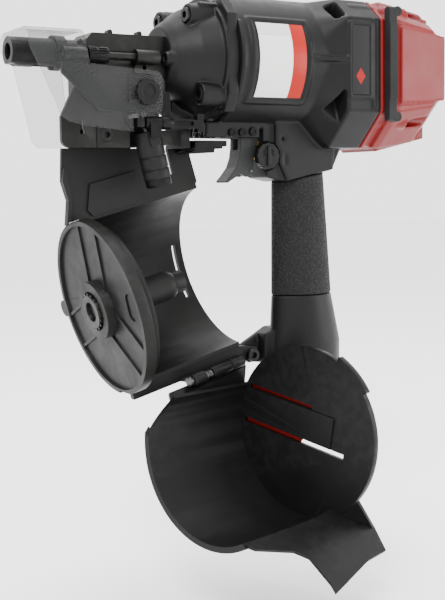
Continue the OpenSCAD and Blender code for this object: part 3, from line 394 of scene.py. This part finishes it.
def helix(name, start, end, radius, wire, turns):
    """A coil spring as a swept wire between two points, with closed and flattened ends."""
    start, end = Vector(start), Vector(end)
    axis = (end - start).normalized()
    side = axis.orthogonal().normalized()
    other = axis.cross(side)
    length = (end - start).length - wire
    steps = int(turns * STEPS_A_TURN)
    curve = bpy.data.curves.new(name, "CURVE")
    curve.dimensions = "3D"
    curve.bevel_depth = wire / 2
    curve.bevel_resolution = 3
    curve.use_fill_caps = True
    spline = curve.splines.new("POLY")
    spline.points.add(steps)
    for i in range(steps + 1):
        t = i / steps
        flat = FLAT_TURNS / turns
        rise = min(max((t - flat) / (1 - 2 * flat), 0), 1)
        angle = 2 * math.pi * turns * t
        along = axis * (wire / 2 + length * rise)
        p = start + along + side * (radius * math.cos(angle)) + other * (radius * math.sin(angle))
        spline.points[i].co = (*p, 1)
    obj = bpy.data.objects.new(name, curve)
    bpy.context.collection.objects.link(obj)
    mesh = bpy.data.meshes.new_from_object(obj.evaluated_get(bpy.context.evaluated_depsgraph_get()))
    bpy.data.objects.remove(obj)
    made = bpy.data.objects.new(name, mesh)
    bpy.context.collection.objects.link(made)
    for face in mesh.polygons:
        face.use_smooth = True
    return made


def node_axis_spring(cad, direction, wire, turns):
    """Fits a helix in the CAD spring: its middle line, radius and length come from the CAD mesh."""
    direction = Vector(direction).normalized()
    points = [v.co for v in NODES[cad].data.vertices]
    along = [p.dot(direction) for p in points]
    middle = sum(points, Vector()) / len(points)
    middle = middle - direction * middle.dot(direction)
    radius = max((p - middle - direction * p.dot(direction)).length for p in points) - wire / 2
    start, end = middle + direction * min(along), middle + direction * max(along)
    obj = helix(cad + "_coil", start, end, radius, wire, turns)
    dress(obj, SLOT_OF[cad])
    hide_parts(cad)
    return obj, min(along), max(along), middle


TILT = next(j for j in frame["joints"] if j["name"] == "tray_height")["axis"]
FEED = next(j for j in frame["joints"] if j["name"] == "feed_stroke")["axis"]
HINGE = next(j for j in frame["joints"] if j["name"] == "magazine_door_swing")["axis"]


def sprung(cad, direction, wire, turns, follower=None):
    obj, low, high, middle = node_axis_spring(cad, direction, wire * MM, turns)
    if follower is None:
        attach(obj, "frame")
        return
    direction = Vector(direction).normalized()
    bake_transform(obj)


sprung("contact_arm_spring", (1, 0, 0), 0.9, 9, "contact")
sprung("feed_spring", FEED, 1.0, 7, "feed")
sprung("head_valve_spring", (1, 0, 0), 2.0, 5, "head_valve")
sprung("valve_spring", (1, 0, 0), 0.7, 6, "stem")
sprung("trigger_spring", (0, 1, 0), 0.7, 9)
sprung("door_hinge_spring", HINGE, 0.8, 6)


# ---------- stage, lights and camera ----------
low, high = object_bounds()
floor_mesh = bpy.data.meshes.new("floor")
floor_mesh.from_pydata([(-6, -6, 0), (6, -6, 0), (6, 6, 0), (-6, 6, 0)], [], [(0, 1, 2, 3)])
floor = bpy.data.objects.new("floor", floor_mesh)
floor.location.z = low[2] - 0.03
bpy.context.collection.objects.link(floor)
floor_mat, floor_shader = principled("pale_floor", (0.95, 0.95, 0.95), 0.9)
bump(floor_mat, floor_shader, noise(floor_mat, 40, 2), 0.0002, 0.2)
floor_mesh.materials.append(floor_mat)


def area_light(name, place, target, size, power, color=(1, 1, 1)):
    data = bpy.data.lights.new(name, "AREA")
    data.shape = "DISK"
    data.size = size
    data.energy = power
    data.color = color
    lamp = bpy.data.objects.new(name, data)
    lamp.location = place
    lamp.rotation_euler = (Vector(target) - Vector(place)).to_track_quat("-Z", "Y").to_euler()
    bpy.context.collection.objects.link(lamp)
    return lamp


centre = (Vector(low) + Vector(high)) / 2
area_light("key", centre + Vector((-0.9, -1.0, 1.3)), centre, 0.7, 34)
area_light("top", centre + Vector((0.1, 0.15, 1.5)), centre, 1.0, 24)
area_light("side", centre + Vector((1.3, -0.9, 0.3)), centre, 0.8, 14)

world = bpy.data.worlds.new("studio")
world.use_nodes = True
world.node_tree.nodes["Background"].inputs["Color"].default_value = (1, 1, 1, 1)
world.node_tree.nodes["Background"].inputs["Strength"].default_value = 2.6
bpy.context.scene.world = world

CAMERA_PLACE = Vector((-0.2549, -0.6881, -0.0875))
AZIMUTH = math.radians(-31)
ELEVATION = math.radians(6)
ROLL = math.radians(-0.909)
FOCAL_SHARE = 1100 / 600

back = Vector((math.sin(AZIMUTH) * math.cos(ELEVATION), -math.cos(AZIMUTH) * math.cos(ELEVATION),
               math.sin(ELEVATION)))
level = Vector((math.cos(AZIMUTH), math.sin(AZIMUTH), 0))
upright = back.cross(level)
right = level * math.cos(ROLL) + upright * math.sin(ROLL)
up = upright * math.cos(ROLL) - level * math.sin(ROLL)
camera_data = bpy.data.cameras.new("camera")
camera_data.sensor_fit = "VERTICAL"
camera_data.sensor_height = 24
camera_data.lens = 24 * FOCAL_SHARE
camera_data.clip_start = 0.01
camera = bpy.data.objects.new("camera", camera_data)
turn = Matrix((right, up, back)).transposed().to_4x4()
camera.matrix_world = Matrix.Translation(CAMERA_PLACE) @ turn
bpy.context.collection.objects.link(camera)
bpy.context.scene.camera = camera
